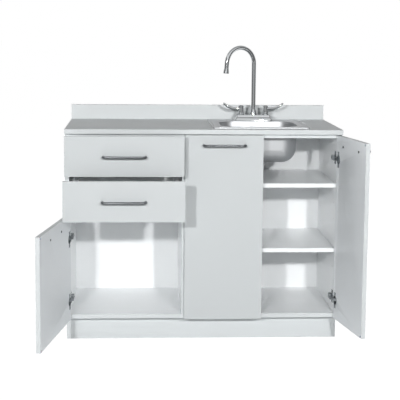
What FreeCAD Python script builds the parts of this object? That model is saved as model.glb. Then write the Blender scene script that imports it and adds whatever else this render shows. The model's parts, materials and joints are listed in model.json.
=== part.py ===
import FreeCAD, Part

import math
import os
import re

import Sketcher
from FreeCAD import Vector

# Laboratory sink unit: a laminate base cabinet with two drawers over a door on the left and two doors
# on the right, a counter with a drop-in sink and a two-handle gooseneck faucet.
# Millimetres and degrees. +X is to the right seen from the front, -Y is out of the front, +Z is up.
# The origin is on the floor, in the plane of the wall, midway across the unit.

doc = FreeCAD.newDocument("LaboratorySinkUnit")
sizes = doc.addObject("Spreadsheet::Sheet", "Sizes")
places = doc.addObject("Spreadsheet::Sheet", "Places")

# ---------------------------------------------------------------- driving dimensions

SIZES = (
    # cabinet boards
    ("unit_width", 1066.8, "overall width of the unit"),
    ("drawer_module", 457.2, "width of the drawer side, to the middle of the partition"),
    ("carcass_depth", 457.2, "wall to the front edges of the cabinet boards"),
    ("board", 16, "thickness of sides, partition, cabinet floor, rails and toe board"),
    ("back_thickness", 12, "thickness of the back panel"),
    ("toe_height", 95, "floor to the underside of the cabinet floor"),
    ("toe_recess", 52, "toe board face behind the cabinet front"),
    ("front_rail_depth", 60, "front-to-back size of the top rails"),
    ("hanging_rail_height", 96, "height of the rail that screws to the wall"),
    # counter
    ("counter_height", 838, "floor to the top of the counter"),
    ("counter_thickness", 18, "counter board"),
    ("counter_overhang", 25.4, "front edge of the counter before the cabinet"),
    ("splash_height", 60, "backsplash above the counter"),
    ("splash_thickness", 16, "backsplash board"),
    # shelves and their pins
    ("pin_diameter", 5, "shelf pin"),
    ("pin_clearance", 0.2, "pin hole wider than the pin"),
    ("pin_depth", 10, "pin length inside its hole"),
    ("pin_reach", 8, "pin length under the shelf"),
    ("pin_pitch", 64, "height between rows of pin holes"),
    ("pin_rows", 6, "rows of pin holes"),
    ("pin_first", 176, "first row above the cabinet floor"),
    ("pin_front", 60, "front column behind the cabinet front"),
    ("pin_back", 70, "rear column in front of the back panel"),
    ("lower_shelf_rows", 1, "rows of holes below the one that carries the lower shelf"),
    ("shelf_clearance", 1, "gap at each end of a shelf"),
    ("shelf_setback", 12, "shelf edge behind the cabinet front"),
    # doors and drawer fronts
    ("front_thickness", 16, "doors and drawer fronts"),
    ("front_gap", 2.5, "back of a front to the cabinet edge"),
    ("front_reveal", 2.5, "front edge inside its module line"),
    ("front_spacing", 3, "gap between neighbouring fronts"),
    ("top_reveal", 4, "gap under the counter"),
    ("drawer_front_height", 152, "both drawer fronts"),
    ("door_open_angle", 100, "opening of the outer doors as they stand"),
    ("upper_drawer_out", 62, "upper drawer pulled out as it stands"),
    ("lower_drawer_out", 166, "lower drawer pulled out as it stands"),
    ("bumper_diameter", 8, "rubber bumper at a door's free corners"),
    ("bumper_height", 2, "bumper thickness"),
    ("bumper_inset", 6, "bumper centre from the door's edges"),
    # wire pulls
    ("pull_centres", 160, "between the two posts of a pull"),
    ("pull_rod", 10, "rod of a pull"),
    ("pull_projection", 30, "middle of the rod in front of the face"),
    ("pull_bend", 12, "bend radius at the middle of the rod"),
    ("door_pull_drop", 38, "pull below the top edge of a door"),
    ("screw_shank", 4, "pull screw"),
    ("screw_clearance", 0.3, "hole wider than the screw"),
    ("screw_bite", 12, "screw length inside the post"),
    ("screw_head", 8.5, "head diameter of the pull screw"),
    ("screw_head_height", 2.2, "head height of the pull screw"),
    # concealed hinges
    ("cup_diameter", 35, "hinge cup"),
    ("cup_edge", 3, "cup edge to the door edge"),
    ("cup_depth", 13, "depth of the cup in the door"),
    ("cup_wall", 0.6, "sheet of the cup"),
    ("cup_clearance", 0.3, "bore in the door wider and deeper than the cup"),
    ("flange_thickness", 1, "plate round the cup's mouth"),
    ("flange_length", 62, "height of that plate with its two ears"),
    ("flange_width", 15, "width of an ear"),
    ("pivot_inset", 7.3, "hinge pin from the door's edge"),
    ("pivot_depth", 10, "hinge pin in front of the door's back face"),
    ("pivot_diameter", 2.2, "hinge pin"),
    ("pivot_clearance", 0.05, "radial running clearance on the hinge pin"),
    ("knuckle_diameter", 4.4, "eye of the arm round the hinge pin"),
    ("arm_thickness", 2, "sheet of the hinge arm"),
    ("arm_width", 8, "height of the hinge arm"),
    ("arm_offset", 12.5, "near face of the arm beside the pin"),
    ("arm_length", 62, "arm inside the cabinet"),
    ("arm_block", 7, "channel of the arm above its plate"),
    ("arm_block_width", 18, "height of that channel and its plate"),
    ("plate_length", 42, "mounting plate, front to back"),
    ("plate_height", 50, "mounting plate across its wings"),
    ("plate_setback", 20, "mounting plate behind the cabinet front"),
    ("hinge_top", 92, "upper hinge below the door's top edge"),
    ("hinge_bottom", 75, "lower hinge above the door's bottom edge"),
    # drawer boxes and their telescopic slides
    ("slide_back_room", 26.2, "back panel to the rear end of a slide"),
    ("drawer_board", 12, "sides and ends of the drawer box"),
    ("drawer_side_height", 112, "height of the drawer box"),
    ("drawer_lift", 18, "underside of the box above the front's lower edge"),
    ("drawer_bottom", 6, "bottom of the drawer box"),
    ("drawer_groove", 10, "drawer bottom above the underside of the box"),
    ("slide_space", 12.7, "cabinet wall to drawer box, the space of a slide"),
    ("slide_height", 45, "height of a slide"),
    ("slide_sheet", 1.3, "sheet of the slide members"),
    ("slide_clearance", 0.3, "between the members of a slide"),
    ("slide_setback", 3, "slides behind the cabinet front"),
    ("slide_rise", 45, "middle of a slide above the underside of the box"),
    ("slide_lip", 9, "flange of the cabinet member"),
    # sink
    ("sink_width", 381, "sink across its rim"),
    ("sink_depth", 381, "sink front to back across its rim"),
    ("sink_setback", 46, "back of the rim in front of the wall"),
    ("sink_corner", 14, "corner radius of the rim"),
    ("rim_height", 3, "rim above the counter"),
    ("rim_width", 3, "turned-down edge of the rim"),
    ("sheet", 1.2, "stainless sheet"),
    ("bowl_width", 305, "bowl opening across"),
    ("bowl_depth", 232, "bowl opening front to back"),
    ("bowl_ledge", 41, "front of the rim to the bowl"),
    ("bowl_height", 147, "deck to the bottom of the bowl, outside"),
    ("bowl_corner", 68, "corner radius of the bowl"),
    ("bowl_draft_angle", 3, "lean of the bowl walls"),
    ("bowl_floor_radius", 57, "inside radius between wall and floor"),
    ("cutout_margin", 12, "rim beyond the cut-out in the counter"),
    ("clip_width", 12, "sink clip"),
    ("clip_sheet", 2.5, "sheet of a sink clip"),
    ("clip_foot", 16, "foot of a clip under the counter"),
    # drain
    ("drain_hole", 51, "hole in the bowl"),
    ("drain_thread", 48, "threaded body of the drain"),
    ("drain_flange", 74, "flange of the drain inside the bowl"),
    ("drain_flange_height", 2, "flange thickness"),
    ("drain_bore", 36, "waterway of the drain"),
    ("drain_reach", 30, "drain body below the bowl"),
    ("grid_thickness", 2, "perforated grid"),
    ("grid_hole", 5, "holes in the grid"),
    ("grid_inner_ring", 13, "circle through the inner holes"),
    ("grid_inner_holes", 4, "holes in the inner ring"),
    ("grid_outer_ring", 27, "circle through the outer holes"),
    ("grid_outer_holes", 8, "holes in the outer ring"),
    ("gasket_height", 3, "rubber gasket under the bowl"),
    ("locknut_width", 66, "locknut across its flats"),
    ("locknut_height", 8, "locknut"),
    ("tail_diameter", 38.1, "tailpiece"),
    ("tail_length", 24, "tailpiece below the drain"),
    ("tail_room", 10, "least gap between the tailpiece and the upper shelf"),
    # faucet
    ("faucet_setback", 50, "faucet axis in front of the back of the rim"),
    ("faucet_centres", 101.6, "between hot and cold"),
    ("base_length", 160, "cast base at the deck"),
    ("base_width", 52, "cast base, front to back"),
    ("base_height", 24, "cast base"),
    ("base_draft_angle", 24, "lean of the base's sides"),
    ("shank_root_diameter", 22.4, "top of a supply shank, which carries its nut"),
    ("shank_root_length", 12, "that top below the deck"),
    ("shank_diameter", 20.9, "threaded end of a supply shank"),
    ("shank_length", 52, "shank below the deck"),
    ("thread_clearance", 0.3, "ring or nut clear of the thread through it"),
    ("base_end_radius", 25, "rounded ends of the cast base"),
    ("shank_hole", 33, "holes in the deck"),
    ("nut_width", 34, "shank nut across its flats"),
    ("nut_height", 7, "shank nut"),
    ("bonnet_diameter", 25, "valve bonnet"),
    ("bonnet_height", 15, "valve bonnet above the base"),
    ("bonnet_flange", 2, "flange of a bonnet beyond its body, and its slope"),
    ("bonnet_flange_height", 3, "flange of a bonnet"),
    ("hub_diameter", 22, "hub of a handle"),
    ("hub_height", 21, "hub of a handle"),
    ("handle_clearance", 0.3, "hub above its bonnet"),
    ("blade_lift", 10, "middle of the blade's root above the foot of its hub"),
    ("blade_length", 73, "wrist blade from the valve's axis"),
    ("blade_width", 21, "widest part of the blade"),
    ("blade_root", 13, "blade width at the hub"),
    ("blade_thickness", 5, "blade"),
    ("blade_rise", 19, "tip of the blade above its root"),
    ("blade_knee", 44, "where the blade turns up, from the valve's axis"),
    ("blade_bend", 45, "radius of that turn"),
    ("cap_diameter", 13, "index cap on a handle"),
    ("cap_height", 2, "index cap"),
    ("spout_tube", 18, "outside diameter of the spout"),
    ("spout_wall", 1.5, "wall of the spout"),
    ("spout_rise", 234.5, "deck to the start of the arch"),
    ("spout_radius", 66.5, "arch radius at the middle of the tube"),
    ("spout_leg", 22, "straight leg above the aerator"),
    ("spout_lean_angle", 5, "outward lean of the leg"),
    ("spout_turn_angle", 62, "spout turned from straight ahead to the left, as it stands"),
    ("spout_clearance", 0.08, "radial running clearance of the spout in its nut"),
    ("spout_nut_height", 22, "nut that holds the spout"),
    ("spout_nut_diameter", 31, "nut at the base"),
    ("spout_nut_step", 1.5, "middle of the nut inside its foot"),
    ("spout_nut_lip", 2, "wall of the nut at its top"),
    ("aerator_diameter", 23, "aerator at its mouth"),
    ("aerator_length", 22, "aerator"),
    ("aerator_cone", 15.4, "tapered length of the aerator"),
    ("aerator_recess", 4.4, "screen inside the mouth of the aerator"),
    ("aerator_wall", 3, "wall round that screen"),
)

# Places that follow from the sizes. Distances called "..._y" are measured from the wall, positive to
# the front, so a point's Y is minus its distance.
PLACES = (
    ("half_width", "unit_width / 2"),
    ("inner_side", "half_width - board"),
    ("split", "drawer_module - half_width"),
    ("partition_left", "split - board / 2"),
    ("partition_right", "split + board / 2"),
    ("carcass_top", "counter_height - counter_thickness"),
    ("floor_top", "toe_height + board"),
    ("back_y", "board + back_thickness"),
    ("front_y", "carcass_depth + front_gap"),
    ("front_top", "carcass_top - top_reveal"),
    ("upper_front_bottom", "front_top - drawer_front_height"),
    ("lower_front_top", "upper_front_bottom - front_spacing"),
    ("lower_front_bottom", "lower_front_top - drawer_front_height"),
    ("left_door_top", "lower_front_bottom - front_spacing"),
    ("left_front_width", "drawer_module - 2 * front_reveal"),
    ("left_front_x", "front_reveal - half_width"),
    ("right_door_width", "(unit_width - drawer_module - 2 * front_reveal - front_spacing) / 2"),
    ("pivot_y", "front_y + pivot_depth"),
    ("left_pivot_x", "left_front_x + pivot_inset"),
    ("centre_pivot_x", "split + front_reveal + pivot_inset"),
    ("right_pivot_x", "half_width - front_reveal - pivot_inset"),
    ("deck_z", "counter_height + rim_height"),
    ("shelf_limit", "deck_z - bowl_height - drain_reach - tail_length - tail_room"),
    ("first_row_limit", "shelf_limit - board - pin_diameter / 2 - floor_top - pin_first"),
    ("upper_shelf_rows", "min(floor(first_row_limit / pin_pitch); pin_rows - 1)"),
    ("lower_shelf_z", "floor_top + pin_first + lower_shelf_rows * pin_pitch"),
    ("upper_shelf_z", "floor_top + pin_first + upper_shelf_rows * pin_pitch"),
    ("counter_depth", "carcass_depth + counter_overhang"),
    ("drawer_length", "carcass_depth - back_y - slide_setback - slide_back_room"),
    ("sink_x", "(partition_right + inner_side) / 2"),
    ("sink_y", "sink_setback + sink_depth / 2"),
    ("bowl_shift", "(bowl_ledge + bowl_depth / 2) - sink_depth / 2"),
    ("cutout_x", "sink_width / 2 - cutout_margin"),
    ("cutout_y", "sink_depth / 2 - cutout_margin"),
    ("faucet_shift", "sink_depth / 2 - faucet_setback"),
    ("faucet_y", "sink_setback + faucet_setback"),
    ("hub_bottom", "base_height + bonnet_height + handle_clearance"),
    ("hub_top", "hub_bottom + hub_height"),
)

owners = {}


def fill_sheets():
    """Write the sizes as plain numbers and the places as formulas, each under its own alias."""
    for row, (alias, value, meaning) in enumerate(SIZES, 1):
        sizes.set("A%d" % row, meaning)
        sizes.set("B%d" % row, str(value))
        sizes.setAlias("B%d" % row, alias)
        owners[alias] = "Sizes"
    for row, (alias, formula) in enumerate(PLACES, 1):
        places.set("B%d" % row, "=" + link(formula))
        places.setAlias("B%d" % row, alias)
        owners[alias] = "Places"
    doc.recompute()


def link(formula):
    """Put the name of its sheet before each alias in a formula."""
    return re.sub(r"[a-z_]+", lambda word: linked(word.group()), str(formula))


def linked(word):
    return "%s.%s" % (owners[word], word) if word in owners else word


def amount(formula):
    """Value of a formula, worked out in a spare cell."""
    places.set("D1", "=" + link(formula))
    places.recompute()
    return float(places.get("D1"))


fill_sheets()

# ---------------------------------------------------------------- helpers

NODES = []


def node(item, label):
    """Name a finished sub-part and list it for export."""
    item.Label = label
    NODES.append(item)
    return item


def place(item, x="0", y="0", z="0", turn="0"):
    for axis, formula in zip("xyz", (x, y, z)):
        item.setExpression(".Placement.Base." + axis, link(formula))
    if turn != "0":
        item.setExpression(".Placement.Rotation.Angle", link(turn))
    return item


def new_body(name, x="0", y="0", z="0", turn="0"):
    return place(doc.addObject("PartDesign::Body", name), x, y, z, turn)


def new_sketch(owner, plane, offset="0"):
    """Sketch on one of the body's own planes, moved along the plane's normal."""
    sketch = owner.newObject("Sketcher::SketchObject", "Sketch")
    support = [item for item in owner.Origin.OriginFeatures if item.Role == plane + "_Plane"][0]
    sketch.AttachmentSupport = (support, "")
    sketch.MapMode = "FlatFace"
    sketch.setExpression(".AttachmentOffset.Base.z", link(offset))
    return sketch


def place_sketch(sketch, x, y, turn="0"):
    """Move a sketch in its own plane, and turn it there."""
    sketch.setExpression(".AttachmentOffset.Base.x", link(x))
    sketch.setExpression(".AttachmentOffset.Base.y", link(y))
    sketch.setExpression(".AttachmentOffset.Rotation.Angle", link(turn))


def dimension(sketch, constraint, formula):
    index = sketch.addConstraint(constraint)
    sketch.setExpression("Constraints[%d]" % index, link(formula))


def pin_point(sketch, item, end, point):
    """Tie a point to the sketch's origin with two dimensions."""
    for kind, formula in zip(("DistanceX", "DistanceY"), point):
        dimension(sketch, Sketcher.Constraint(kind, -1, 1, item, end, amount(formula)), formula)


def outline(sketch, points):
    """Closed outline of straight lines."""
    spots = [Vector(amount(x), amount(y), 0) for x, y in points]
    first = sketch.GeometryCount
    count = len(points)
    for index in range(count):
        sketch.addGeometry(Part.LineSegment(spots[index], spots[(index + 1) % count]), False)
    for index in range(count):
        following = first + (index + 1) % count
        sketch.addConstraint(Sketcher.Constraint("Coincident", first + index, 2, following, 1))
        pin_point(sketch, first + index, 1, points[index])


def tube_ring(sketch, y):
    """Section of the spout."""
    circle(sketch, "0", y, "spout_tube")
    circle(sketch, "0", y, "spout_tube - 2 * spout_wall")


def rectangle(sketch, left, bottom, right, top):
    outline(sketch, [(left, bottom), (right, bottom), (right, top), (left, top)])


def circle(sketch, x, y, diameter):
    spot = Vector(amount(x), amount(y), 0)
    item = sketch.addGeometry(Part.Circle(spot, Vector(0, 0, 1), amount(diameter) / 2), False)
    pin_point(sketch, item, 3, (x, y))
    dimension(sketch, Sketcher.Constraint("Diameter", item, amount(diameter)), diameter)


def minor_arc(sketch, centre, start, end):
    """Arc of less than half a turn; returns its number and which of its ends is the start."""
    turn = [math.atan2(spot.y - centre.y, spot.x - centre.x) for spot in (start, end)]
    forward = (turn[1] - turn[0]) % (2 * math.pi) < math.pi
    low, high = turn if forward else reversed(turn)
    high = low + (high - low) % (2 * math.pi)
    whole = Part.Circle(centre, Vector(0, 0, 1), (start - centre).Length)
    item = sketch.addGeometry(Part.ArcOfCircle(whole, low, high), False)
    return item, 1 if forward else 2


def rounded_path(sketch, points, radius, closed=False):
    """Lines through the points, joined by tangent arcs of one radius at the corners."""
    spots = [Vector(amount(x), amount(y), 0) for x, y in points]
    count = len(points)
    corners = range(count) if closed else range(1, count - 1)
    size = amount(radius)
    entry, leave, arcs = {}, {}, {}
    for index in corners:
        before = (spots[index - 1] - spots[index]).normalize()
        after = (spots[(index + 1) % count] - spots[index]).normalize()
        half_angle = before.getAngle(after) / 2
        reach = size / math.tan(half_angle)
        middle = spots[index] + (before + after).normalize() * (size / math.sin(half_angle))
        entry[index] = spots[index] + before * reach
        leave[index] = spots[index] + after * reach
        arcs[index] = minor_arc(sketch, middle, entry[index], leave[index])
    lines = []
    for index in range(count if closed else count - 1):
        following = (index + 1) % count
        start = leave.get(index, spots[index])
        end = entry.get(following, spots[following])
        lines.append(sketch.addGeometry(Part.LineSegment(start, end), False))
    for index in corners:
        arc, near = arcs[index]
        sketch.addConstraint(Sketcher.Constraint("Tangent", lines[index - 1], 2, arc, near))
        sketch.addConstraint(Sketcher.Constraint("Tangent", arc, 3 - near, lines[index], 1))
        dimension(sketch, Sketcher.Constraint("Radius", arc, size), radius)
        corner = sketch.addGeometry(Part.Point(spots[index]), True)
        pin_point(sketch, corner, 1, points[index])
        for line in (lines[index - 1], lines[index]):
            sketch.addConstraint(Sketcher.Constraint("PointOnObject", corner, 1, line))
    if not closed:
        pin_point(sketch, lines[0], 1, points[0])
        pin_point(sketch, lines[-1], 2, points[-1])


def rounded_rectangle(sketch, half_x, half_y, radius, middle_y="0"):
    low, high = "%s - (%s)" % (middle_y, half_y), "%s + (%s)" % (middle_y, half_y)
    left, right = "-(%s)" % half_x, half_x
    rounded_path(sketch, [(left, low), (right, low), (right, high), (left, high)], radius, True)


def pad(sketch, length, reverse=False, middle=False, taper=None):
    item = sketch.getParentGeoFeatureGroup().newObject("PartDesign::Pad", "Pad")
    item.Profile = sketch
    item.setExpression("Length", link(length))
    item.Reversed = reverse
    item.Midplane = middle
    if taper:
        item.setExpression("TaperAngle", link(taper))
    return item


def pocket(sketch, length=None, reverse=False, taper=None):
    """Cut along the sketch's normal, or right through both ways when no length is given."""
    item = sketch.getParentGeoFeatureGroup().newObject("PartDesign::Pocket", "Pocket")
    item.Profile = sketch
    item.Reversed = reverse
    if length is None:
        item.Type = "ThroughAll"
        item.Midplane = True
    else:
        item.setExpression("Length", link(length))
    if taper:
        item.setExpression("TaperAngle", link(taper))
    return item


def revolve(sketch, angle="360", axis="V_Axis", reverse=False):
    """Turn a profile about an axis of its sketch, a full round when no angle is given."""
    item = sketch.getParentGeoFeatureGroup().newObject("PartDesign::Revolution", "Turned")
    item.Profile = sketch
    item.ReferenceAxis = (sketch, [axis])
    item.setExpression("Angle", link(angle))
    item.Reversed = reverse
    return item


def pipe(profile, spine):
    item = profile.getParentGeoFeatureGroup().newObject("PartDesign::AdditivePipe", "Pipe")
    item.Profile = profile
    item.Spine = spine
    return item


def fillet(owner, radius, chosen):
    """Round the edges of the body, as it is so far, for which chosen(edge) is true."""
    doc.recompute()
    rounded = owner.Tip
    names = ["Edge%d" % number for number, edge in enumerate(rounded.Shape.Edges, 1) if chosen(edge)]
    item = owner.newObject("PartDesign::Fillet", "Fillet")
    item.Base = (rounded, names)
    item.setExpression("Radius", link(radius))
    return item


SAME_HEIGHT = 1e-4


def at_height(edge, height):
    box = edge.BoundBox
    return max(abs(box.ZMin - height), abs(box.ZMax - height)) < SAME_HEIGHT * abs(height)


def plain_board(label, low, high):
    """Board between two corners, padded up from a rectangle."""
    item = new_body(label, *low)
    sketch = new_sketch(item, "XY")
    spans = ["%s - (%s)" % pair for pair in zip(high, low)]
    rectangle(sketch, "0", "0", spans[0], spans[1])
    pad(sketch, spans[2])
    return item


def board(label, low, high):
    return node(plain_board(label, low, high), label)


def bores(owner, plane, offset, centres, diameter, depth=None, reverse=False):
    """Round holes cut from a plane, right through when no depth is given."""
    sketch = new_sketch(owner, plane, offset)
    for x, y in centres:
        circle(sketch, x, y, diameter)
    return pocket(sketch, depth, reverse)


def group(label, items):
    """Several separate solids kept as one sub-part."""
    item = doc.addObject("Part::Compound", label)
    item.Links = items
    return node(item, label)


def mirrored(side, formula):
    return formula if side > 0 else "-(%s)" % formula


# ---------------------------------------------------------------- cabinet

def pin_holes(owner, offset, reverse):
    """Two columns of shelf pin holes: one row, repeated upwards."""
    columns = ("-(carcass_depth - pin_front)", "-(back_y + pin_back)")
    row = "floor_top + pin_first"
    first = bores(owner, "YZ", offset, [(column, row) for column in columns],
                  "pin_diameter + pin_clearance", "pin_depth", reverse)
    rows = owner.newObject("PartDesign::LinearPattern", "Rows")
    rows.Originals = [first]
    rows.Direction = (first.Profile[0], ["V_Axis"])
    rows.setExpression("Length", link("pin_pitch * (pin_rows - 1)"))
    rows.setExpression("Occurrences", link("pin_rows"))
    owner.Tip = rows


def side_panel(label, x, drilled):
    """Cabinet side that reaches the floor, notched for the toe space."""
    item = new_body(label, x)
    sketch = new_sketch(item, "YZ")
    toe = "-(carcass_depth - toe_recess)"
    outline(sketch, [("0", "0"), ("0", "carcass_top"), ("-carcass_depth", "carcass_top"),
                     ("-carcass_depth", "toe_height"), (toe, "toe_height"), (toe, "0")])
    pad(sketch, "board")
    if drilled:
        pin_holes(item, "0", True)
    return node(item, label)


def partition():
    item = new_body("centre_partition", "partition_left")
    sketch = new_sketch(item, "YZ")
    rectangle(sketch, "-carcass_depth", "floor_top", "-back_y", "carcass_top")
    pad(sketch, "board")
    pin_holes(item, "board", False)
    return node(item, "centre_partition")


def cabinet():
    side_panel("left_side_panel", "-half_width", False)
    side_panel("right_side_panel", "inner_side", True)
    partition()
    board("cabinet_floor", ("-inner_side", "-carcass_depth", "toe_height"),
          ("inner_side", "-back_y", "floor_top"))
    rail_back = "front_rail_depth - carcass_depth"
    group("top_rails", [plain_board("TopRail", (start, "-carcass_depth", "carcass_top - board"),
                                    (stop, rail_back, "carcass_top"))
                        for start, stop in (("-inner_side", "partition_left"),
                                            ("partition_right", "inner_side"))])
    board("back_panel", ("-inner_side", "-back_y", "toe_height"), ("inner_side", "-board", "carcass_top"))
    board("hanging_rail", ("-inner_side", "-board", "carcass_top - hanging_rail_height"),
          ("inner_side", "0", "carcass_top"))
    board("base_rail", ("-inner_side", "-board", "0"), ("inner_side", "0", "floor_top"))
    board("toe_board", ("-inner_side", "toe_recess - carcass_depth", "0"),
          ("inner_side", "toe_recess + board - carcass_depth", "toe_height"))


def counter():
    item = new_body("countertop", "sink_x", "-sink_y", "carcass_top")
    sketch = new_sketch(item, "XY")
    rectangle(sketch, "-half_width - sink_x", "sink_y - counter_depth", "half_width - sink_x", "sink_y")
    pad(sketch, "counter_thickness")
    opening = new_sketch(item, "XY")
    rounded_rectangle(opening, "cutout_x", "cutout_y", "sink_corner")
    pocket(opening)
    node(item, "countertop")
    board("backsplash", ("-half_width", "-splash_thickness", "counter_height"),
          ("half_width", "0", "counter_height + splash_height"))


def shelf(label, pin_z):
    under = "%s + pin_diameter / 2" % pin_z
    board(label, ("partition_right + shelf_clearance", "shelf_setback - carcass_depth", under),
          ("inner_side - shelf_clearance", "-back_y - shelf_clearance", under + " + board"))


def shelf_pins():
    """Four pins under each shelf, standing out of their holes."""
    pins = []
    for level in ("lower_shelf_z", "upper_shelf_z"):
        for column in ("pin_front - carcass_depth", "-back_y - pin_back"):
            for start in ("partition_right - pin_depth", "inner_side - pin_reach"):
                pin = doc.addObject("Part::Cylinder", "ShelfPin")
                pin.Placement.Rotation = FreeCAD.Rotation(Vector(0, 1, 0), 90)
                pin.setExpression("Radius", link("pin_diameter / 2"))
                pin.setExpression("Height", link("pin_depth + pin_reach"))
                pins.append(place(pin, start, column, level))
    group("shelf_pins", pins)


# ---------------------------------------------------------------- pulls

def wire_pull(label, middle_x, face_y, z, frame):
    """Bent rod with two posts against the front, and the two screws that hold it from behind.

    middle_x, face_y and z are in the frame of the front; face_y points out of its face (-Y).
    """
    rod = new_body(label + "_rod", *frame)
    left = "%s - pull_centres / 2" % middle_x
    right = "%s + pull_centres / 2" % middle_x
    posts = new_sketch(rod, "XZ", "-(%s)" % face_y)
    for x in (left, right):
        circle(posts, x, z, "pull_rod")
    pad(posts, "pull_projection - pull_bend")
    bar = new_sketch(rod, "YZ", left + " + pull_bend")
    circle(bar, "%s - pull_projection" % face_y, z, "pull_rod")
    pad(bar, "pull_centres - 2 * pull_bend")
    for x, inward in ((left, 1), (right, -1)):
        corner = new_sketch(rod, "XZ", "pull_projection - pull_bend - (%s)" % face_y)
        place_sketch(corner, "%s + %d * pull_bend" % (x, inward), z)
        circle(corner, "%d * pull_bend" % -inward, "0", "pull_rod")
        revolve(corner, "90", reverse=inward < 0)
    bores(rod, "XZ", "-(%s)" % face_y, [(left, z), (right, z)],
          "screw_shank + screw_clearance", "screw_bite + 2 * screw_clearance", True)
    return [rod] + [pull_screw(label, x, face_y, z, frame) for x in (left, right)]


def pull_screw(label, x, face_y, z, frame):
    """Pan-head screw through the front from behind, into a post."""
    screw = new_body(label + "_screw", *frame)
    back = "-(%s + front_thickness)" % face_y
    head = new_sketch(screw, "XZ", back)
    circle(head, x, z, "screw_head")
    pad(head, "screw_head_height", True)
    shank = new_sketch(screw, "XZ", back)
    circle(shank, x, z, "screw_shank")
    pad(shank, "front_thickness + screw_bite")
    return screw


# ---------------------------------------------------------------- doors

def hinge_cup(name, side, z, frame):
    """Pressed cup with its flange and the pin across its mouth."""
    cup = new_body(name + "_cup", *frame)
    across = "(cup_edge + cup_diameter / 2 - pivot_inset)"
    x = mirrored(side, across)
    mouth = "-pivot_depth"
    flange = new_sketch(cup, "XZ", mouth)
    circle(flange, x, z, "cup_diameter")
    pad(flange, "flange_thickness", True)
    ears = new_sketch(cup, "XZ", mouth)
    rectangle(ears, "%s - flange_width / 2" % x, "%s - flange_length / 2" % z,
              "%s + flange_width / 2" % x, "%s + flange_length / 2" % z)
    pad(ears, "flange_thickness", True)
    shell = new_sketch(cup, "XZ", mouth)
    circle(shell, x, z, "cup_diameter")
    pad(shell, "cup_depth")
    hollow = new_sketch(cup, "XZ", "-(pivot_depth + flange_thickness)")
    circle(hollow, x, z, "cup_diameter - 2 * cup_wall")
    pocket(hollow, "cup_depth + flange_thickness - cup_wall", True)
    pin = new_sketch(cup, "XY", z)
    circle(pin, "0", "0", "pivot_diameter")
    pad(pin, "2 * sqrt((cup_diameter / 2) ^ 2 - (%s + pivot_diameter / 2) ^ 2) - cup_wall" % across,
        middle=True)
    return cup


def hinge_arm(name, side, wall, z, pivot_x):
    """Cranked arm from the pin to the mounting plate on the cabinet wall, and that plate.

    wall is the distance from the pin to the face of the board, towards the middle of the door.
    """
    frame = (pivot_x, "-pivot_y")
    edge = "pivot_depth + front_gap"
    start = edge + " + plate_setback"
    arm = new_body(name + "_arm", *frame)
    web = new_sketch(arm, "XY", z)
    half = "arm_thickness / 2"
    far = "(arm_offset + arm_thickness)"
    tail = "(%s + arm_length)" % edge
    outline(web, [(mirrored(side, x), y) for x, y in (
        ("0", "-" + half), (far, "-" + half), (far, tail), ("arm_offset", tail),
        ("arm_offset", half), ("0", half))])
    pad(web, "arm_width", middle=True)
    eye = new_sketch(arm, "XY", z)
    circle(eye, "0", "0", "knuckle_diameter")
    pad(eye, "arm_width", middle=True)
    channel = new_sketch(arm, "XY", z)
    rectangle(channel, mirrored(side, "arm_offset"), start, mirrored(side, "arm_offset + arm_block"), tail)
    pad(channel, "arm_block_width", middle=True)
    bores(arm, "XY", z, [("0", "0")], "pivot_diameter + 2 * pivot_clearance")
    plate = new_body(name + "_plate", *frame)
    base = new_sketch(plate, "XY", z)
    rectangle(base, mirrored(side, wall), start, mirrored(side, "arm_offset"), start + " + plate_length")
    pad(base, "arm_block_width", middle=True)
    wings = new_sketch(plate, "XY", z)
    rectangle(wings, mirrored(side, wall), start + " + plate_length / 4",
              mirrored(side, wall + " + arm_thickness"), start + " + plate_length * 3 / 4")
    pad(wings, "plate_height", middle=True)
    return [arm, plate]


def door(name, side, pivot_x, width, bottom, top, turn, wall):
    """Door hinged at its left edge (side +1) or its right edge (side -1).

    The door's frame has its origin on the hinge axis, with the closed door along +X or -X.
    """
    frame = (pivot_x, "-pivot_y", "0", turn)
    hinge_heights = ("%s - hinge_top" % top, "%s + hinge_bottom" % bottom)
    face = "pivot_depth - front_thickness"
    pull_x = mirrored(side, "(%s / 2 - pivot_inset)" % width)
    pull_z = "%s - door_pull_drop" % top

    leaf = new_body(name + "_panel", *frame)
    slab = new_sketch(leaf, "XY", bottom)
    rectangle(slab, mirrored(side, "-pivot_inset"), face,
              mirrored(side, "%s - pivot_inset" % width), "pivot_depth")
    pad(slab, "%s - %s" % (top, bottom))
    cup_x = mirrored(side, "cup_edge + cup_diameter / 2 - pivot_inset")
    bores(leaf, "XZ", "-pivot_depth", [(cup_x, z) for z in hinge_heights],
          "cup_diameter + cup_clearance", "cup_depth + cup_clearance", True)
    screws = [("%s %s pull_centres / 2" % (pull_x, sign), pull_z) for sign in "-+"]
    bores(leaf, "XZ", "0", screws, "screw_shank + screw_clearance")
    node(leaf, name + "_panel")

    group(name + "_pull", wire_pull(name + "_pull", pull_x, face, pull_z, frame))
    group(name + "_hinge_cups", [hinge_cup(name, side, z, frame) for z in hinge_heights])
    bumpers = []
    for z in ("%s + bumper_inset" % bottom, "%s - bumper_inset" % top):
        bumper = new_body(name + "_bumper", *frame)
        disc = new_sketch(bumper, "XZ", "-pivot_depth")
        circle(disc, mirrored(side, "%s - pivot_inset - bumper_inset" % width), z, "bumper_diameter")
        pad(disc, "bumper_height", True)
        bumpers.append(bumper)
    group(name + "_bumpers", bumpers)
    arms = []
    for z in hinge_heights:
        arms += hinge_arm(name, side, wall, z, pivot_x)
    group(name + "_hinge_arms", arms)


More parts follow.
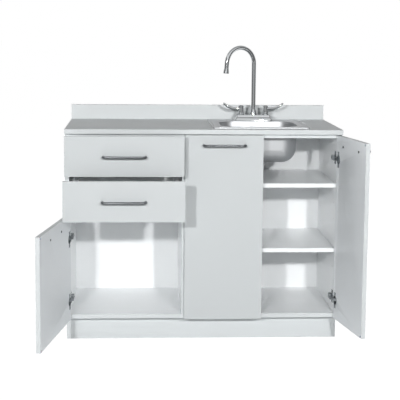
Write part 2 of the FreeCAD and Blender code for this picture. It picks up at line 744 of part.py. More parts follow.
def doors():
    outer_wall = "(board - front_reveal - pivot_inset)"
    partition_wall = "(board / 2 - front_reveal - pivot_inset)"
    door("left_door", 1, "left_pivot_x", "left_front_width", "toe_height", "left_door_top",
         "-door_open_angle", outer_wall)
    door("centre_door", 1, "centre_pivot_x", "right_door_width", "toe_height", "front_top",
         "0", partition_wall)
    door("right_door", -1, "right_pivot_x", "right_door_width", "toe_height", "front_top",
         "door_open_angle", outer_wall)


# ---------------------------------------------------------------- drawers

def slide_member(name, points, z, out):
    """Rolled member of a telescopic slide: its section, padded towards the wall."""
    item = new_body(name, "0", "-(%s)" % out)
    section = new_sketch(item, "XZ", "carcass_depth - slide_setback")
    outline(section, [(x, "%s + (%s)" % (z, height)) for x, height in points])
    pad(section, "drawer_length", True)
    return item


def slide_pair(label, start, stop, lip, half, z, out):
    """The same channel at both sides of a drawer: its web, from start to stop, and two lips.

    start, stop and lip are distances from the cabinet wall.
    """
    pair = []
    for side, wall in ((1, "-inner_side"), (-1, "partition_left")):
        across = ["%s %s (%s)" % (wall, "+" if side > 0 else "-", reach) for reach in (start, stop, lip)]
        near, web, edge = across
        inner = "%s - slide_sheet" % half
        points = [(near, "-(%s)" % half), (edge, "-(%s)" % half), (edge, "-(%s)" % inner),
                  (web, "-(%s)" % inner), (web, inner), (edge, inner), (edge, half), (near, half)]
        pair.append(slide_member(label, points, z, out))
    return pair


def drawer(name, bottom, out):
    """Applied front, four-sided box with its bottom, pull, and three-member slides."""
    low = "(%s + drawer_lift)" % bottom
    left = "(slide_space - inner_side)"
    right = "(partition_left - slide_space)"
    inner_left = "(%s + drawer_board)" % left
    inner_right = "(%s - drawer_board)" % right
    box_back = "(drawer_length - front_y)"
    high = "%s + drawer_side_height" % low
    frame = ("0", "-%s" % out, "0")
    middle_x = "(left_front_x + left_front_width / 2)"
    middle_z = "(%s + drawer_front_height / 2)" % bottom

    front = new_body(name + "_front", *frame)
    slab = new_sketch(front, "XZ", "front_y")
    rectangle(slab, "left_front_x", bottom, "left_front_x + left_front_width",
              "%s + drawer_front_height" % bottom)
    pad(slab, "front_thickness")
    screws = [("%s %s pull_centres / 2" % (middle_x, sign), middle_z) for sign in "-+"]
    bores(front, "XZ", "front_y", screws, "screw_shank + screw_clearance")
    node(front, name + "_front")

    def box_board(label, start, stop, under=low, height="drawer_side_height"):
        item = new_body(label, *frame)
        sketch = new_sketch(item, "XY", under)
        rectangle(sketch, start[0], start[1], stop[0], stop[1])
        pad(sketch, height)
        return item

    group(name + "_sides", [
        box_board(name + "_side", (left, "-front_y"), (inner_left, box_back)),
        box_board(name + "_side", (inner_right, "-front_y"), (right, box_back))])
    ends = [
        box_board(name + "_end", (inner_left, "-front_y"), (inner_right, "drawer_board - front_y")),
        box_board(name + "_end", (inner_left, box_back + " - drawer_board"), (inner_right, box_back))]
    bores(ends[0], "XZ", "front_y - drawer_board", screws,
          "screw_head + 2 * screw_clearance", "drawer_board + screw_clearance", True)
    group(name + "_ends", ends)
    floor = box_board(name + "_bottom", (inner_left, "drawer_board - front_y"),
                      (inner_right, box_back + " - drawer_board"),
                      "%s + drawer_groove" % low, "drawer_bottom")
    node(floor, name + "_bottom")
    face = "-(front_y + front_thickness)"
    group(name + "_pull", wire_pull(name + "_pull", middle_x, face, middle_z, frame))

    z = "%s + slide_rise" % low
    half = "slide_height / 2"
    middle_half = "(%s - slide_sheet - slide_clearance)" % half
    inner_half = "(%s - slide_sheet - slide_clearance)" % middle_half
    middle_start = "slide_sheet + slide_clearance"
    group(name + "_middle_rails", slide_pair(
        name + "_middle_rail", middle_start, middle_start + " + slide_sheet",
        "slide_space - slide_sheet - slide_clearance", middle_half, z, out + " / 2"))
    group(name + "_box_rails", slide_pair(
        name + "_box_rail", "slide_space", "slide_space - slide_sheet",
        "2 * (slide_sheet + slide_clearance)", inner_half, z, out))
    return slide_pair(name + "_cabinet_rail", "0", "slide_sheet", "slide_lip", half, z, "0")


def drawers():
    cabinet_rails = drawer("upper_drawer", "upper_front_bottom", "upper_drawer_out")
    cabinet_rails += drawer("lower_drawer", "lower_front_bottom", "lower_drawer_out")
    group("cabinet_rails", cabinet_rails)


# ---------------------------------------------------------------- sink and drain

def sink_basin():
    """Pressed sink: a deck with a turned-down rim, and a drafted bowl with rounded corners."""
    sink = new_body("sink_basin", "sink_x", "-sink_y", "deck_z")
    deck = new_sketch(sink, "XY")
    rounded_rectangle(deck, "sink_width / 2", "sink_depth / 2", "sink_corner")
    pad(deck, "sheet", True)
    rim = new_sketch(sink, "XY")
    rounded_rectangle(rim, "sink_width / 2", "sink_depth / 2", "sink_corner")
    rounded_rectangle(rim, "sink_width / 2 - rim_width", "sink_depth / 2 - rim_width",
                      "sink_corner - rim_width")
    pad(rim, "rim_height", True)
    outside = new_sketch(sink, "XY")
    rounded_rectangle(outside, "bowl_width / 2 + sheet", "bowl_depth / 2 + sheet",
                      "bowl_corner + sheet", "bowl_shift")
    pad(outside, "bowl_height", True, taper="-bowl_draft_angle")
    inside = new_sketch(sink, "XY")
    rounded_rectangle(inside, "bowl_width / 2", "bowl_depth / 2", "bowl_corner", "bowl_shift")
    pocket(inside, "bowl_height - sheet", taper="-bowl_draft_angle")
    floor = -amount("bowl_height - sheet")
    fillet(sink, "bowl_floor_radius", lambda edge: at_height(edge, floor))
    under = -amount("bowl_height")
    fillet(sink, "bowl_floor_radius + sheet", lambda edge: at_height(edge, under))
    bores(sink, "XY", "0", [("0", "bowl_shift")], "drain_hole")
    bores(sink, "XY", "0", [(x, "faucet_shift") for x in ("-faucet_centres / 2", "0", "faucet_centres / 2")],
          "shank_hole", "2 * sheet")
    node(sink, "sink_basin")


def sink_clip(x, y, turn):
    """Clip between the sink's deck and the underside of the counter."""
    clip = new_body("SinkClip", x, y, "deck_z - sheet", turn)
    side = new_sketch(clip, "XZ")
    drop = "-(counter_thickness + rim_height - sheet)"
    foot = "%s - clip_sheet" % drop
    outline(side, [("0", "0"), ("-clip_sheet", "0"), ("-clip_sheet", foot), ("clip_foot", foot),
                   ("clip_foot", drop), ("0", drop)])
    pad(side, "clip_width", middle=True)
    return clip


def sink_clips():
    clips = []
    for shift in ("-sink_depth / 5", "sink_depth / 5"):
        y = "%s - sink_y" % shift
        clips.append(sink_clip("sink_x + cutout_x", y, "0"))
        clips.append(sink_clip("sink_x - cutout_x", y, "180"))
    group("sink_clips", clips)


def drain():
    frame = ("sink_x", "bowl_shift - sink_y", "deck_z - bowl_height")
    body = new_body("grid_drain", *frame)
    profile = new_sketch(body, "XZ")
    top = "sheet + drain_flange_height"
    outline(profile, [("0", top), ("drain_flange / 2", top), ("drain_flange / 2", "sheet"),
                      ("drain_thread / 2", "sheet"), ("drain_thread / 2", "-drain_reach"),
                      ("drain_bore / 2", "-drain_reach"), ("drain_bore / 2", top + " - grid_thickness"),
                      ("0", top + " - grid_thickness")])
    revolve(profile)
    for holes, radius in (("grid_inner_holes", "grid_inner_ring / 2"),
                          ("grid_outer_holes", "grid_outer_ring / 2")):
        first = bores(body, "XY", "0", [(radius, "0")], "grid_hole")
        ring = body.newObject("PartDesign::PolarPattern", "Ring")
        ring.Originals = [first]
        ring.Axis = (first.Profile[0], ["N_Axis"])
        ring.Angle = 360
        ring.setExpression("Occurrences", link(holes))
        body.Tip = ring
    node(body, "grid_drain")

    gasket = new_body("drain_gasket", *frame)
    ring = new_sketch(gasket, "XY")
    circle(ring, "0", "0", "locknut_width")
    circle(ring, "0", "0", "drain_thread + 2 * thread_clearance")
    pad(ring, "gasket_height", True)
    node(gasket, "drain_gasket")

    locknut = hexagon_nut("drain_locknut", frame, "-gasket_height", "locknut_width", "locknut_height",
                          "drain_thread")
    node(locknut, "drain_locknut")

    tail = new_body("tailpiece", *frame)
    tube = new_sketch(tail, "XY", "-drain_reach")
    circle(tube, "0", "0", "tail_diameter")
    circle(tube, "0", "0", "tail_diameter - 2 * spout_wall")
    pad(tube, "tail_length", True)
    node(tail, "tailpiece")


def hexagon_nut(name, frame, top, width, height, thread):
    nut = new_body(name, *frame)
    sketch = new_sketch(nut, "XY", top)
    corner = "(%s) / 2 / cos(30)" % width
    outline(sketch, [("%s * cos(%d)" % (corner, angle), "%s * sin(%d)" % (corner, angle))
                     for angle in range(0, 360, 60)])
    circle(sketch, "0", "0", thread + " + 2 * thread_clearance")
    pad(sketch, height, True)
    return nut


# ---------------------------------------------------------------- faucet

FAUCET = ("sink_x", "-faucet_y", "deck_z")


def faucet_base():
    """Cast base with sloping ends, and the two supply shanks through the deck."""
    base = new_body("faucet_base", *FAUCET)
    foot = new_sketch(base, "XY")
    rounded_rectangle(foot, "base_length / 2", "base_width / 2", "base_end_radius")
    pad(foot, "base_height", taper="-base_draft_angle")
    for x in ("-faucet_centres / 2", "faucet_centres / 2"):
        for diameter, length in (("shank_root_diameter", "shank_root_length"),
                                 ("shank_diameter", "shank_length")):
            shank = new_sketch(base, "XY")
            circle(shank, x, "0", diameter)
            pad(shank, length, True)
    node(base, "faucet_base")
    nuts = []
    for sign in "-+":
        frame = ("sink_x %s faucet_centres / 2" % sign, "-faucet_y", "deck_z - sheet")
        nuts.append(hexagon_nut("ShankNut", frame, "0", "nut_width", "nut_height", "shank_root_diameter"))
    group("shank_nuts", nuts)
    bonnets = []
    for sign in "-+":
        valve_x = "sink_x %s faucet_centres / 2" % sign
        bonnet = new_body("Bonnet", valve_x, "-faucet_y", "deck_z + base_height")
        profile = new_sketch(bonnet, "XZ")
        edge = "bonnet_diameter / 2 + bonnet_flange"
        outline(profile, [("0", "0"), (edge, "0"), (edge, "bonnet_flange_height"),
                          ("bonnet_diameter / 2", "bonnet_flange_height + bonnet_flange"),
                          ("hub_diameter / 2", "bonnet_height"), ("0", "bonnet_height")])
        revolve(profile)
        bonnets.append(bonnet)
    group("valve_bonnets", bonnets)


def handle(label, side):
    """Wrist-blade handle: a blade that runs out level and then turns up, on a round hub with a cap."""
    frame = ("sink_x %s faucet_centres / 2" % ("+" if side > 0 else "-"), "-faucet_y", "deck_z")
    item = new_body(label, *frame)
    root_z = "(hub_bottom + blade_lift)"
    spine = new_sketch(item, "XZ")
    rounded_path(spine, [("0", root_z), (mirrored(side, "blade_knee"), root_z),
                         (mirrored(side, "blade_length"), root_z + " + blade_rise")], "blade_bend")
    section = new_sketch(item, "YZ")
    rectangle(section, "-blade_width / 2", root_z + " - blade_thickness / 2",
              "blade_width / 2", root_z + " + blade_thickness / 2")
    pipe(section, spine)
    trim = new_sketch(item, "XY")
    for edge in (1, -1):
        outline(trim, [(mirrored(side, x), mirrored(edge, y)) for x, y in (
            ("0", "blade_root / 2"), ("hub_diameter / 4", "blade_root / 2"),
            ("blade_knee", "blade_width / 2"), ("blade_knee", "blade_width"), ("0", "blade_width"))])
    pocket(trim)
    hub = new_sketch(item, "XY", "hub_bottom")
    circle(hub, "0", "0", "hub_diameter")
    pad(hub, "hub_height")
    node(item, label)
    cap = new_body(label + "_cap", *frame)
    button = new_sketch(cap, "XY", "hub_top")
    circle(button, "0", "0", "cap_diameter")
    pad(button, "cap_height")
    node(cap, label + "_cap")


def spout():
    """Gooseneck tube with a half-round arch and a leaning leg, its nut and its aerator."""
    frame = ("sink_x", "-faucet_y", "deck_z", "-spout_turn_angle")
    start = "base_height + handle_clearance"
    tube = new_body("spout_tube", *frame)
    foot = new_sketch(tube, "XY", start)
    tube_ring(foot, "0")
    pad(foot, "spout_rise - (%s)" % start)
    arch = new_sketch(tube, "XY", "spout_rise")
    place_sketch(arch, "0", "-spout_radius")
    tube_ring(arch, "spout_radius")
    revolve(arch, "180 + spout_lean_angle", "H_Axis")
    end = ("-spout_radius * (1 + cos(spout_lean_angle)) - spout_leg * sin(spout_lean_angle)",
           "spout_rise + spout_radius * sin(spout_lean_angle) - spout_leg * cos(spout_lean_angle)")
    leg = new_sketch(tube, "YZ")
    place_sketch(leg, end[0], end[1], "-spout_lean_angle")
    rectangle(leg, "spout_tube / 2 - spout_wall", "0", "spout_tube / 2", "spout_leg")
    revolve(leg)
    node(tube, "spout_tube")

    nut = new_body("spout_nut", "sink_x", "-faucet_y", "deck_z + base_height")
    profile = new_sketch(nut, "XZ")
    bore = "spout_tube / 2 + spout_clearance"
    edge = "spout_nut_diameter / 2"
    outline(profile, [(bore, "0"), (edge, "0"), (edge, "spout_nut_height / 3"),
                      (edge + " - spout_nut_step", "spout_nut_height / 2"),
                      (bore + " + spout_nut_lip", "spout_nut_height"),
                      (bore, "spout_nut_height")])
    revolve(profile)
    node(nut, "spout_nut")

    aerator = new_body("aerator", *frame)
    section = new_sketch(aerator, "YZ")
    place_sketch(section, end[0], end[1], "-spout_lean_angle")
    mouth = "aerator_diameter / 2"
    screen = "aerator_recess - aerator_length"
    inside = mouth + " - aerator_wall"
    outline(section, [("0", "0"), ("spout_tube / 2", "0"), (mouth, "-aerator_cone"),
                      (mouth, "-aerator_length"), (inside, "-aerator_length"), (inside, screen),
                      ("0", screen)])
    revolve(section)
    node(aerator, "aerator")


# ---------------------------------------------------------------- build, check and export

cabinet()
counter()
shelf("lower_shelf", "lower_shelf_z")
shelf("upper_shelf", "upper_shelf_z")
shelf_pins()
doors()
drawers()
sink_basin()
sink_clips()
drain()
faucet_base()
handle("hot_handle", -1)
handle("cold_handle", 1)
spout()
doc.recompute()

for item in doc.Objects:
    if "Invalid" in item.State or "Error" in item.State:
        raise RuntimeError("%s failed: %s" % (item.Label, item.State))
os.makedirs("parts", exist_ok=True)
for item in NODES:
    if item.Shape.isNull() or not item.Shape.isValid():
        raise RuntimeError("%s has no valid shape" % item.Label)
    item.Shape.exportStep("parts/%s.step" % item.Label)
print("%d sub-parts, %d solids" % (len(NODES), sum(len(item.Shape.Solids) for item in NODES)))
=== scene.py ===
# %% [markdown]
# # A laboratory sink unit
#
# A base cabinet of laminated board carries a counter, a pressed steel sink and a gooseneck
# faucet with two wrist-blade handles. Two drawers and two doors stand open. The engineering
# model gives every board, rail and fitting its size and place. This lesson gives each one its
# finish, softens the edges that a real workshop would soften, and builds the shapes that a hand
# would round by eye.

# %% Load the engineering model
import json
import math

import bpy
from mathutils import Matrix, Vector

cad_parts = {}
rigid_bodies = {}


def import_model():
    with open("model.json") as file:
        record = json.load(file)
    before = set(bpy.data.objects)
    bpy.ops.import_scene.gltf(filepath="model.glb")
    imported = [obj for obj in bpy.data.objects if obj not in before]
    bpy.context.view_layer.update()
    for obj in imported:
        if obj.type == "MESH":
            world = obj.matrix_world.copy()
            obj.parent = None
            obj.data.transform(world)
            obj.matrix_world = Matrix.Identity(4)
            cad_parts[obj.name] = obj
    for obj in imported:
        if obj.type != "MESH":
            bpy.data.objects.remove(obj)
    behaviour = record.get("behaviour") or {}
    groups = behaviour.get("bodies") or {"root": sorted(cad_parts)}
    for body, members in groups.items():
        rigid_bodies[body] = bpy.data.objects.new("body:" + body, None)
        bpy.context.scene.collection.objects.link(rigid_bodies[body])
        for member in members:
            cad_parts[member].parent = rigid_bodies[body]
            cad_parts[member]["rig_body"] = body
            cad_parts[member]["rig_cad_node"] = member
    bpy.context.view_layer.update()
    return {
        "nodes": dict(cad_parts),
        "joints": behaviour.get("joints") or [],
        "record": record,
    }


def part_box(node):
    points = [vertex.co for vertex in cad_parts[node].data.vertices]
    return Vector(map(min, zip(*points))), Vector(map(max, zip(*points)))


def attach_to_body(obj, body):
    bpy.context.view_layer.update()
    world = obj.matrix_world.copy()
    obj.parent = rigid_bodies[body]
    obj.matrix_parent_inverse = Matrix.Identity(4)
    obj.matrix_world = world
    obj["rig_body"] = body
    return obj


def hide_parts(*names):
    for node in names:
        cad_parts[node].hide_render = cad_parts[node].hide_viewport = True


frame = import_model()
MM = 0.001
body_of_node = {node: body for body, nodes in frame["record"]["behaviour"]["bodies"].items()
                for node in nodes}
slot_of_node = {part["node"]: part["material_slot"] for part in frame["record"]["subparts"]}

# %% [markdown]
# ## Choosing nothing, then one thing
#
# Blender's operators act on whatever is selected. Just after loading, every sub-part is
# selected, so each step starts by selecting nothing and then only the piece that it works on.


# %% Selecting one piece
def choose(piece):
    bpy.ops.object.select_all(action="DESELECT")
    piece.select_set(True)
    bpy.context.view_layer.objects.active = piece
    return piece


def put_in_place(piece):
    """Move the piece's place, turn and size into its mesh."""
    choose(piece)
    bpy.ops.object.transform_apply(location=True, rotation=True, scale=True)
    return piece


# %% [markdown]
# ## Finishes
#
# A finish is a small network of nodes. One helper adds a node, sets its properties and its
# inputs, and links whatever input is given another node's output. Colours are written as the
# hex values of a colour card, which are sRGB, and one function turns them to the linear values
# that light adds up in.


# %% Helpers for colours and nodes
def linear(card):
    """Linear colour of an sRGB hex value such as D8DADB."""
    parts = [int(card[i:i + 2], 16) / 255 for i in (0, 2, 4)]
    light = [p / 12.92 if p <= 0.04045 else ((p + 0.055) / 1.055) ** 2.4 for p in parts]
    return (*light, 1.0)


def add_node(tree, kind, settings=None, in_order=(), **inputs):
    """Add a node; its inputs, in order or by name, are values or other nodes' outputs."""
    node = tree.nodes.new(kind)
    for name, value in (settings or {}).items():
        setattr(node, name, value)
    named = {name.replace("_", " "): value for name, value in inputs.items()}
    for key, value in (*enumerate(in_order), *named.items()):
        socket = node.inputs[key]
        if isinstance(value, bpy.types.NodeSocket):
            tree.links.new(value, socket)
        else:
            socket.default_value = value
    return node


def blank_tree(owner):
    """Empty node tree of a material or a world."""
    owner.use_nodes = True
    owner.node_tree.nodes.clear()
    return owner.node_tree


def new_finish(name, **surface):
    """A material with one Principled surface; returns its tree and that surface's node."""
    material = bpy.data.materials.new(name)
    tree = blank_tree(material)
    shader = add_node(tree, "ShaderNodeBsdfPrincipled", **surface)
    output = add_node(tree, "ShaderNodeOutputMaterial", Surface=shader.outputs["BSDF"])
    output.is_active_output = True
    return material, tree, shader


# %% [markdown]
# ## Laminate
#
# The fronts, sides and counter are high-pressure laminate: printed paper soaked in resin and
# pressed against a finely textured plate. The eye gets an even, slightly cool white with a soft
# sheen and no mirror image. The plate's texture is about 0.4 mm from grain to grain.


# %% Laminates
SKIN_DEPTH = 0.02


def moulded(name, card, grain, **surface):
    """Material of an even colour under a fine moulded grain of a size in mm."""
    material, tree, shader = new_finish(name, Base_Color=linear(card), **surface)
    place = add_node(tree, "ShaderNodeTexCoord")
    grains = add_node(tree, "ShaderNodeTexNoise", Vector=place.outputs["Object"],
                      Scale=1 / (grain * MM), Detail=2.0)
    bump = add_node(tree, "ShaderNodeBump", Strength=1.0, Distance=SKIN_DEPTH * MM,
                    Height=grains.outputs["Fac"])
    tree.links.new(bump.outputs["Normal"], shader.inputs["Normal"])
    return material


def laminate(name, card, roughness, grain):
    """Pressed laminate or melamine."""
    return moulded(name, card, grain, Roughness=roughness, IOR=1.5)


finishes = {
    "counter_laminate": laminate("Counter laminate", "D6DADB", 0.4, 0.4),
    "cabinet_laminate": laminate("White cabinet laminate", "CCD0D1", 0.5, 0.4),
    "front_laminate": laminate("White front laminate", "BFC3C4", 0.5, 0.4),
    "interior_melamine": laminate("White melamine board", "F8FAFB", 0.36, 0.6),
    "drawer_melamine": laminate("Drawer melamine", "F2F4F5", 0.45, 0.6),
}

# %% [markdown]
# ## Raw particleboard
#
# The rails behind the back panel have no laminate. Their face is pressed wood chips, 2 to 3 mm
# across, tan with lighter and darker flakes. A Voronoi pattern gives one flat tone to each
# chip.


# %% Raw particleboard
CHIP_WIDTH, CHIP_DEPTH = 2.5, 0.15


def particleboard():
    material, tree, shader = new_finish("Raw particleboard", Roughness=0.85, IOR=1.5)
    place = add_node(tree, "ShaderNodeTexCoord")
    chips = add_node(tree, "ShaderNodeTexVoronoi", Vector=place.outputs["Object"],
                     Scale=1 / (CHIP_WIDTH * MM))
    tones = add_node(tree, "ShaderNodeValToRGB", Fac=chips.outputs["Color"])
    tones.color_ramp.elements[0].color = linear("A88B66")
    tones.color_ramp.elements[1].color = linear("D2BB98")
    tree.links.new(tones.outputs["Color"], shader.inputs["Base Color"])
    bump = add_node(tree, "ShaderNodeBump", Strength=1.0, Distance=CHIP_DEPTH * MM,
                    Height=chips.outputs["Distance"])
    tree.links.new(bump.outputs["Normal"], shader.inputs["Normal"])
    return material


finishes["raw_board"] = particleboard()

# %% [markdown]
# ## Metals
#
# Polished chrome is a mirror with a faint blue-grey tint. The sink's stainless sheet was
# brushed in one direction, so its grain is long and fine: 0.3 mm wide streaks, 60 mm long. They
# are drawn as a noise that is stretched along the streaks and varies the roughness. Slides and
# hinges are plated steel, which is a little duller and greyer.


# %% Metals
CLOUD_WIDTH, CLOUD_VARIATION = 3, 0.07
STREAK_VARIATION, STREAK_DEPTH = 0.08, 0.001


def plated(name, card, roughness):
    """Plated steel, as dull as its polish leaves it, with a faint, cloudy unevenness."""
    material, tree, shader = new_finish(name, Base_Color=linear(card), Metallic=1.0)
    place = add_node(tree, "ShaderNodeTexCoord")
    cloud = add_node(tree, "ShaderNodeTexNoise", Vector=place.outputs["Object"],
                     Scale=1 / (CLOUD_WIDTH * MM), Detail=2.0)
    spread = add_node(tree, "ShaderNodeMapRange", Value=cloud.outputs["Fac"],
                      To_Min=roughness * (1 - CLOUD_VARIATION),
                      To_Max=roughness * (1 + CLOUD_VARIATION))
    tree.links.new(spread.outputs["Result"], shader.inputs["Roughness"])
    return material


def brushed(name, card, roughness, streak_width, streak_length):
    """Brushed steel with streaks of a size in mm, along X."""
    material, tree, shader = new_finish(name, Base_Color=linear(card), Metallic=1.0)
    across, along = 1 / (streak_width * MM), 1 / (streak_length * MM)
    place = add_node(tree, "ShaderNodeTexCoord")
    stretched = add_node(tree, "ShaderNodeMapping", Vector=place.outputs["Object"],
                         Scale=(along, across, across))
    streaks = add_node(tree, "ShaderNodeTexNoise", Vector=stretched.outputs["Vector"],
                       Scale=1.0, Detail=3.0)
    spread = add_node(tree, "ShaderNodeMapRange", Value=streaks.outputs["Fac"],
                      To_Min=roughness - STREAK_VARIATION, To_Max=roughness + STREAK_VARIATION)
    tree.links.new(spread.outputs["Result"], shader.inputs["Roughness"])
    bump = add_node(tree, "ShaderNodeBump", Strength=1.0, Distance=STREAK_DEPTH * MM,
                    Height=streaks.outputs["Fac"])
    tree.links.new(bump.outputs["Normal"], shader.inputs["Normal"])
    return material


finishes["faucet_chrome"] = plated("Polished chrome", "D2D5D7", 0.06)
finishes["cap_chrome"] = plated("Polished chrome caps", "D2D5D7", 0.1)
finishes["sink_steel"] = brushed("Brushed stainless sheet", "BCBEC0", 0.48, 0.3, 60)
finishes["pull_steel"] = plated("Satin nickel pulls", "6F7274", 0.3)
finishes["fitting_steel"] = plated("Turned stainless fittings", "BFC1C3", 0.25)
finishes["hinge_steel"] = plated("Nickel-plated hinge steel", "8A8F92", 0.32)
finishes["slide_steel"] = plated("Zinc-plated slide steel", "B9BDBF", 0.35)
finishes["pin_steel"] = plated("Nickel-plated shelf pins", "B2B4B6", 0.25)

# %% [markdown]
# ## Rubber
#
# The bumpers are clear soft plastic, which lets some light in and looks pale grey on a white
# door. The gasket under the sink is black moulded rubber with a dull skin.


# %% Rubber
RUBBER_GRAIN, LIGHT_REACH = 0.8, 1


def rubber(name, card, roughness, scatter):
    """Moulded rubber; scatter is the share of light that goes in and comes out nearby."""
    return moulded(name, card, RUBBER_GRAIN, Roughness=roughness, IOR=1.45,
                   Subsurface_Weight=scatter, Subsurface_Scale=LIGHT_REACH * MM)


finishes["bumper_rubber"] = rubber("Clear grey bumper", "A9ADB0", 0.35, 0.4)
finishes["gasket_rubber"] = rubber("Black rubber gasket", "232425", 0.7, 0.0)


def paint(piece, slot):
    """Give a piece one of the record's finishes."""
    piece.data.materials.clear()
    piece.data.materials.append(finishes[slot])
    return piece


for name, part in frame["nodes"].items():
    paint(part, slot_of_node[name])
print("finishes:", len(finishes))

# %% [markdown]
# ## Softening the edges
#
# Sawn and edge-banded board never has a perfectly sharp edge: the trimmer leaves a radius of
# about half a millimetre. That narrow band catches the light and draws a thin line round every
# board. The engineering model's mesh is made of loose triangles, so a copy is joined and its
# flat faces are cleaned before a Bevel modifier rounds the edges.


# %% Working copies of sub-parts
MERGE = 0.002 * MM  # points closer than this are one
FLAT_BELOW = math.radians(0.2)  # faces that meet at less are one flat face
SMOOTH_BELOW = math.radians(35)  # faces that meet at less are one curved surface
EDGE_RADIUS = 0.5


def working_copy(name):
    """Joined copy of a sub-part, with flat faces in one piece, that stands for it from now on."""
    choose(frame["nodes"][name])
    bpy.ops.object.duplicate()
    piece = bpy.context.object
    bpy.ops.object.parent_clear(type="CLEAR_KEEP_TRANSFORM")
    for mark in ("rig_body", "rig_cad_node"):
        del piece[mark]
    piece.name = name + "_finished"
    bpy.ops.object.mode_set(mode="EDIT")
    bpy.ops.mesh.select_all(action="SELECT")
    bpy.ops.mesh.remove_doubles(threshold=MERGE)
    bpy.ops.mesh.dissolve_limited(angle_limit=FLAT_BELOW)
    bpy.ops.object.mode_set(mode="OBJECT")
    return attach(piece, name)


def attach(piece, *names):
    """Let a piece ride on the body of the sub-parts that it stands for, and take their finish."""
    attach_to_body(piece, body_of_node[names[0]])
    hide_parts(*names)
    return paint(piece, slot_of_node[names[0]])


def soften(piece, radius, steps=2, sharper_than=30):
    """Round the edges with a Bevel modifier and shade the curved faces smooth."""
    choose(piece)
    bpy.ops.object.shade_smooth_by_angle(angle=SMOOTH_BELOW)
    bevel = piece.modifiers.new("Softened edges", "BEVEL")
    bevel.width = radius * MM
    bevel.segments = steps
    bevel.limit_method = "ANGLE"
    bevel.angle_limit = math.radians(sharper_than)
    bevel.harden_normals = True
    bpy.ops.object.modifier_apply(modifier=bevel.name)
    return piece


def face_finish(piece, finish, wanted):
    """Give another finish to the faces for which wanted(normal) holds."""
    piece.data.materials.append(finish)
    for face in piece.data.polygons:
        if wanted(face.normal):
            face.material_index = len(piece.data.materials) - 1


BOARD_FINISHES = ("counter_laminate", "cabinet_laminate", "front_laminate", "interior_melamine",
                  "drawer_melamine", "raw_board")
BOARDS = [name for name, slot in slot_of_node.items() if slot in BOARD_FINISHES]
boards = {name: soften(working_copy(name), EDGE_RADIUS) for name in BOARDS}
print("boards softened:", len(boards))

# %% [markdown]
# ## Inside faces and edge bands
#
# A cabinet maker buys board with the decorative laminate on one face only. The inside faces
# have plain melamine, which is whiter; the doors' inside faces get a greyer copy of it, which
# is painted shade. The sawn edges are closed with a 1 mm strip of plastic, the edge band, a
# touch lighter than the laminate. The front edges of the white boards and of the counter get
# greyer bands than their faces, which is painted shade. Each board's faces are told apart by
# where they look.

# %% Inside faces
DOOR_OPEN = math.radians(100)
FACING, DIAGONAL = 0.95, 0.7  # cosines: nearly along a direction, and 45 degrees off it
INSIDE = {"left_side_panel": (1, 0), "right_side_panel": (-1, 0),
          "left_door_panel": (math.sin(DOOR_OPEN), math.cos(DOOR_OPEN)),
          "right_door_panel": (-math.sin(DOOR_OPEN), math.cos(DOOR_OPEN)),
          "centre_door_panel": (0, 1), "upper_drawer_front": (0, 1), "lower_drawer_front": (0, 1)}
# The edge band is a real plastic strip. Its grey tone is also painted shade on the front edges of
# the white floor, partition and rails.
edge_band_and_shade = laminate("White plastic edge band and painted shade", "CDD1D2", 0.35, 0.8)
# Painted shade: the doors' inside faces get this greyer copy of the white melamine.
door_lining_painted_shade = laminate("Door lining melamine", "E5E8EA", 0.4, 0.6)
for name, (x, y) in INSIDE.items():
    inwards = Vector((x, y, 0))
    lining = door_lining_painted_shade if "door" in name else finishes["interior_melamine"]
    face_finish(boards[name], lining, lambda normal: normal.dot(inwards) > FACING)
    face_finish(boards[name], edge_band_and_shade, lambda normal: abs(normal.dot(inwards)) < DIAGONAL)
print("two-faced boards:", len(INSIDE))

# %% Front edges
# Painted shade: the front edges face the flood lamps and get bands greyer than their boards. On
# the rails this stands for the shade under the counter.
shelf_band_and_shade = laminate("Plastic shelf band and painted shade", "F0F2F3", 0.35, 0.8)
counter_band_and_shade = laminate("Counter edge laminate and painted shade", "C9CDCE", 0.4, 0.4)
FRONT_EDGES = {"upper_shelf": shelf_band_and_shade, "lower_shelf": shelf_band_and_shade, "cabinet_floor": edge_band_and_shade,
               "centre_partition": edge_band_and_shade, "top_rails": edge_band_and_shade, "countertop": counter_band_and_shade}
for name, band in FRONT_EDGES.items():
    face_finish(boards[name], band, lambda normal: normal.y < -DIAGONAL)
print("front edges:", len(FRONT_EDGES))

# %% [markdown]
# ## Round metal parts
#
# Tubes, cups and turned fittings keep their shape. On polished metal every flat facet would
# show as a broken reflection, so their joined copies are shaded smooth wherever two faces meet
# at less than 35 degrees.

# %% Smooth shading
REMADE = ("faucet_base", "valve_bonnets", "hot_handle", "cold_handle")
ROUND = [name for name in slot_of_node if name not in BOARDS and name not in REMADE]
fittings = {}
for name in ROUND:
    fittings[name] = working_copy(name)
    bpy.ops.object.shade_smooth_by_angle(angle=SMOOTH_BELOW)
print("metal and rubber parts smoothed:", len(ROUND))

# %% [markdown]
# ## The sink's underside
#
# Only the side of the sheet that shows in use is brushed. Underneath it keeps the pale, even
# skin that it had when it left the rolling mill. The faces of the underside are those that look
# away from the middle of the bowl.

# %% Mill finish under the bowl
RIM_DEPTH = 6  # the rim and the ledge keep their brushed side this far down
mill_finish = plated("Rolled stainless skin", "BEC0C2", 0.46)
bowl_low, bowl_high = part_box("sink_basin")
bowl_middle = (bowl_low + bowl_high) / 2
bowl_middle.z = bowl_high.z
basin = fittings["sink_basin"]
basin.data.materials.append(mill_finish)
for face in basin.data.polygons:
    outside = (face.center - bowl_middle).dot(face.normal) > 0
    if outside and face.center.z < bowl_high.z - RIM_DEPTH * MM:
        face.material_index = 1
print("faces with the mill finish:", sum(face.material_index for face in basin.data.polygons))

# %% [markdown]
# ## Picking faces
#
# In edit mode a hand would click the faces to work on. In code they are picked by what can be
# said of them: where they lie and which way they look.

